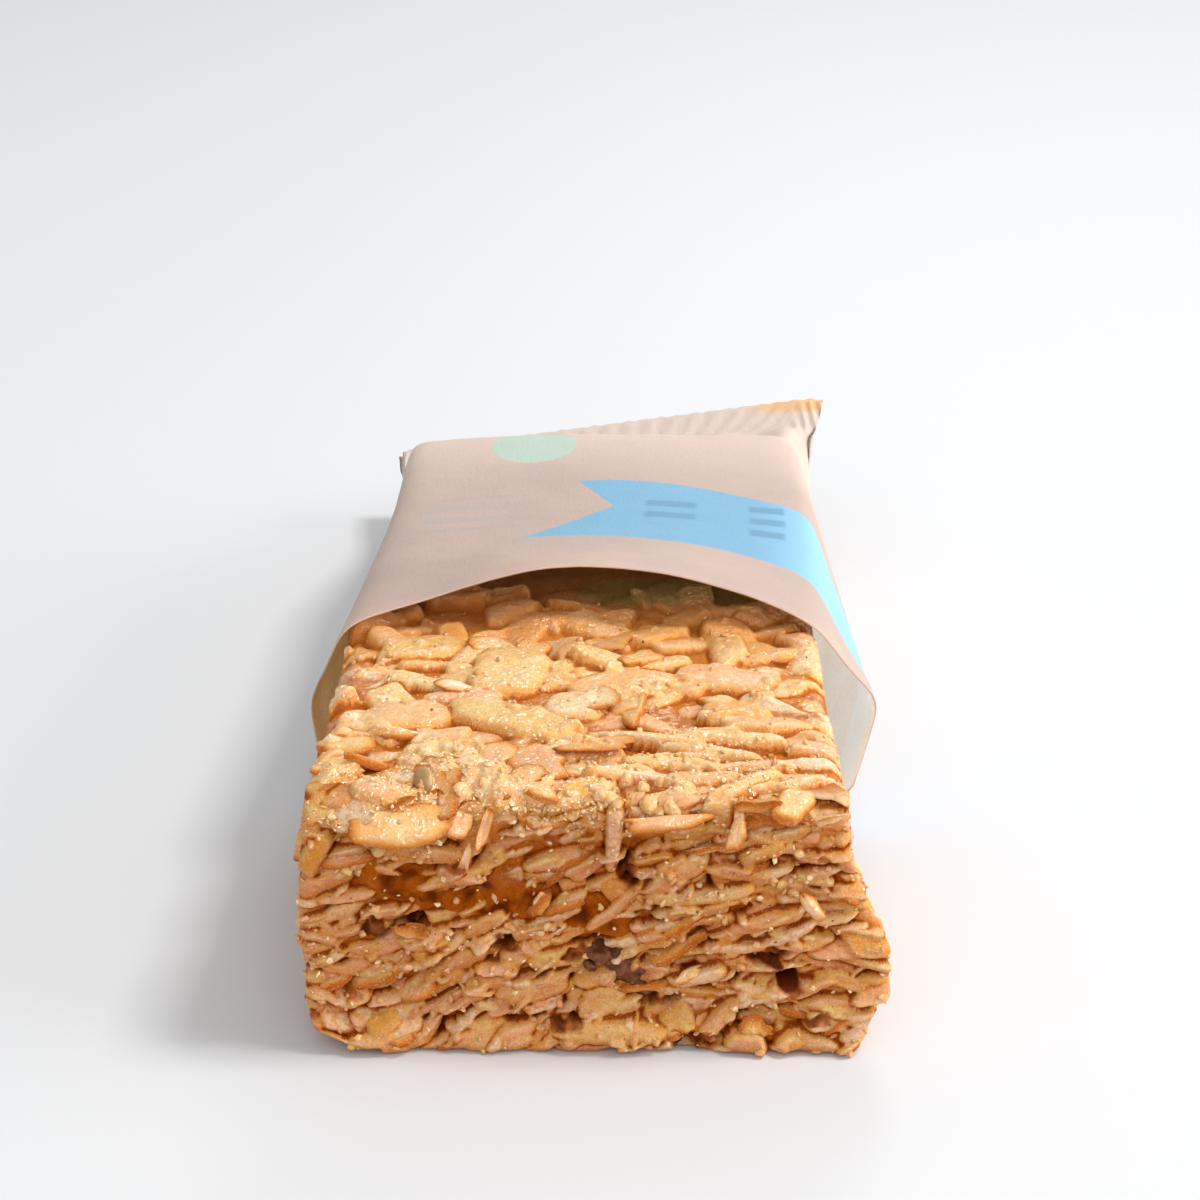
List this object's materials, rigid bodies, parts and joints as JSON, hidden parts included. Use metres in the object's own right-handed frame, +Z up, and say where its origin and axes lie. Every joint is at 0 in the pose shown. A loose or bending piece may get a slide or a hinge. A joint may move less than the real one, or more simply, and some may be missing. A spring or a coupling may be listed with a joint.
{
  "type": "granola bar",
  "caption": "Baked oat granola bar with an uneven pressed surface, its back half still inside a paper flow wrapper that is open in front and crimped flat at the far end.",
  "frame": {"origin": "under the middle of the part's box, on the plane that the part lies on", "axes": "+Y along the bar, from its bare end to the wrapper's crimped end; +Z up; +X to the right seen from the bare end"},
  "size_m": [0.0524, 0.1302, 0.0263],
  "materials": {
    "baked_oats": "satin",
    "kraft_paper": "matte"
  },
  "bodies": {
    "root": {"bar": "baked_oats", "wrapper": "kraft_paper"}
  },
  "joints": []
}
